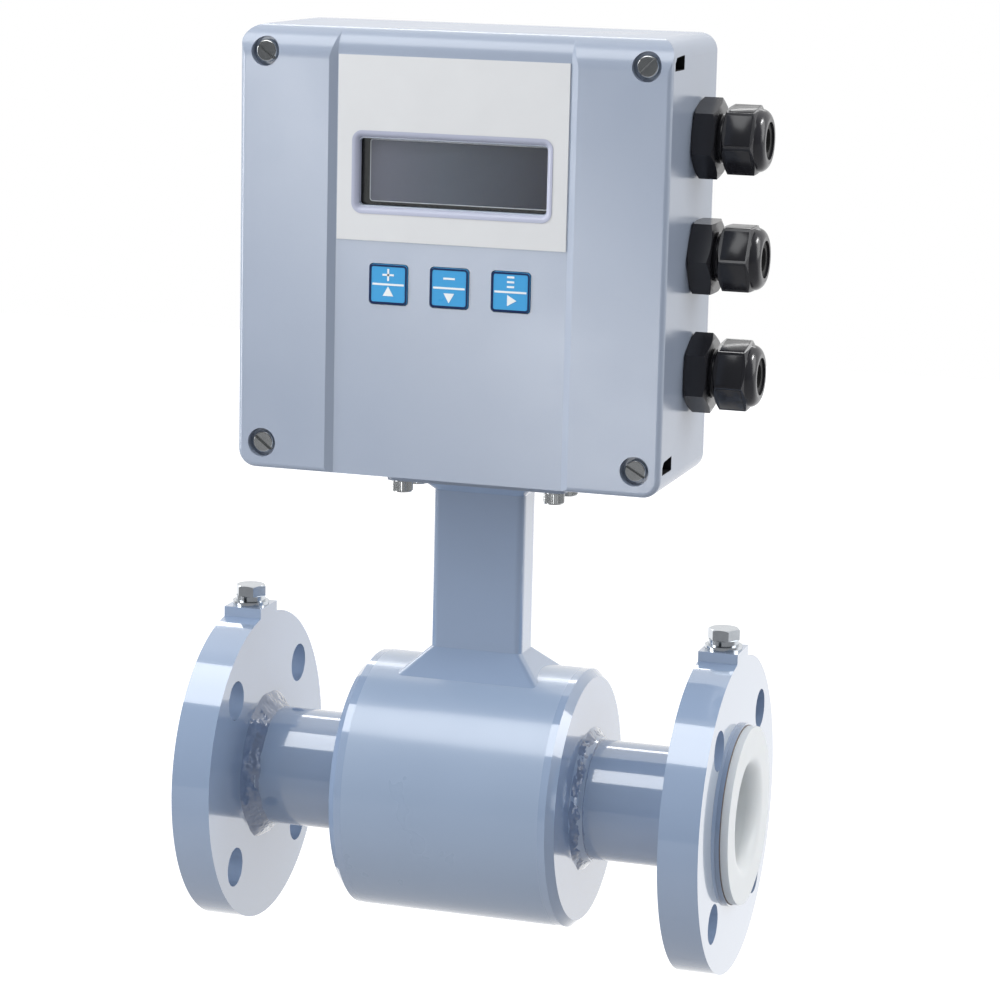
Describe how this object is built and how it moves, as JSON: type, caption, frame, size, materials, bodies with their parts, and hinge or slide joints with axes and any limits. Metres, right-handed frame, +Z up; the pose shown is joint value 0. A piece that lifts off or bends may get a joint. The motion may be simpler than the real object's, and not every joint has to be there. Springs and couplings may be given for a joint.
{
  "type": "electromagnetic flow meter",
  "caption": "Flanged electromagnetic flow meter: lined pipe section with coil housing, neck and square transmitter box with display, keys and cable glands",
  "frame": {"origin": "centre of the flow bore, on the neck's axis", "axes": "+X along the flow line from inlet to outlet, +Y from the box's front to its rear, +Z up"},
  "size_m": [0.225, 0.127, 0.369],
  "materials": {
    "line_paint": "gloss",
    "box_paint": "satin",
    "ptfe": "matte",
    "zinc_steel": "satin",
    "stainless": "satin",
    "black_nylon": "gloss",
    "black_rubber": "matte",
    "grey_label": "satin",
    "clear_pane": "gloss",
    "lcd_bezel": "satin",
    "lcd_grey": "gloss",
    "blue_key": "satin",
    "green_board": "satin",
    "black_plastic": "matte",
    "grey_plastic": "matte",
    "transformer_iron": "matte",
    "can_aluminium": "satin",
    "copper_winding": "satin",
    "soft_iron": "matte",
    "white_bush": "matte"
  },
  "bodies": {
    "meter": {"flow_tube": "line_paint", "flange_left": "line_paint", "flange_right": "line_paint", "liner": "ptfe", "ground_bolts": "zinc_steel", "spring_washers": "zinc_steel", "flat_washers": "zinc_steel", "coil_shell": "line_paint", "end_cap_left": "line_paint", "end_cap_right": "line_paint", "neck": "line_paint", "neck_plate": "box_paint", "neck_gasket": "black_rubber", "plate_screws": "stainless", "housing_base": "box_paint", "housing_cover": "box_paint", "cover_gasket": "black_rubber", "cover_screws": "stainless", "label_plate": "grey_label", "display_window": "clear_pane", "lcd_frame": "lcd_bezel", "lcd_glass": "lcd_grey", "display_board": "green_board", "display_screws": "zinc_steel", "key_switches": "black_plastic", "main_board": "green_board", "board_screws": "zinc_steel", "transformer": "transformer_iron", "terminal_strip": "grey_plastic", "capacitors": "can_aluminium", "electrode_front": "stainless", "electrode_rear": "stainless", "electrode_bushes": "white_bush", "electrode_nuts": "stainless", "coil_upper": "copper_winding", "coil_lower": "copper_winding", "pole_shoe_upper": "soft_iron", "pole_shoe_lower": "soft_iron", "magnetic_yoke": "soft_iron", "gland_body_top": "black_nylon", "gland_nut_top": "black_nylon", "gland_seal_top": "black_rubber", "gland_locknut_top": "black_nylon", "gland_body_middle": "black_nylon", "gland_nut_middle": "black_nylon", "gland_seal_middle": "black_rubber", "gland_locknut_middle": "black_nylon", "gland_body_bottom": "black_nylon", "gland_nut_bottom": "black_nylon", "gland_seal_bottom": "black_rubber", "gland_locknut_bottom": "black_nylon"},
    "plus_button": {"key_plus": "blue_key"},
    "minus_button": {"key_minus": "blue_key"},
    "enter_button": {"key_enter": "blue_key"}
  },
  "joints": [
    {"name": "plus_press", "type": "slide", "parent": "meter", "child": "plus_button", "axis": [0, 1, 0], "range_m": [0, 0.0008], "stiffness_N_per_m": 600},
    {"name": "minus_press", "type": "slide", "parent": "meter", "child": "minus_button", "axis": [0, 1, 0], "range_m": [0, 0.0008], "stiffness_N_per_m": 600},
    {"name": "enter_press", "type": "slide", "parent": "meter", "child": "enter_button", "axis": [0, 1, 0], "range_m": [0, 0.0008], "stiffness_N_per_m": 600}
  ]
}
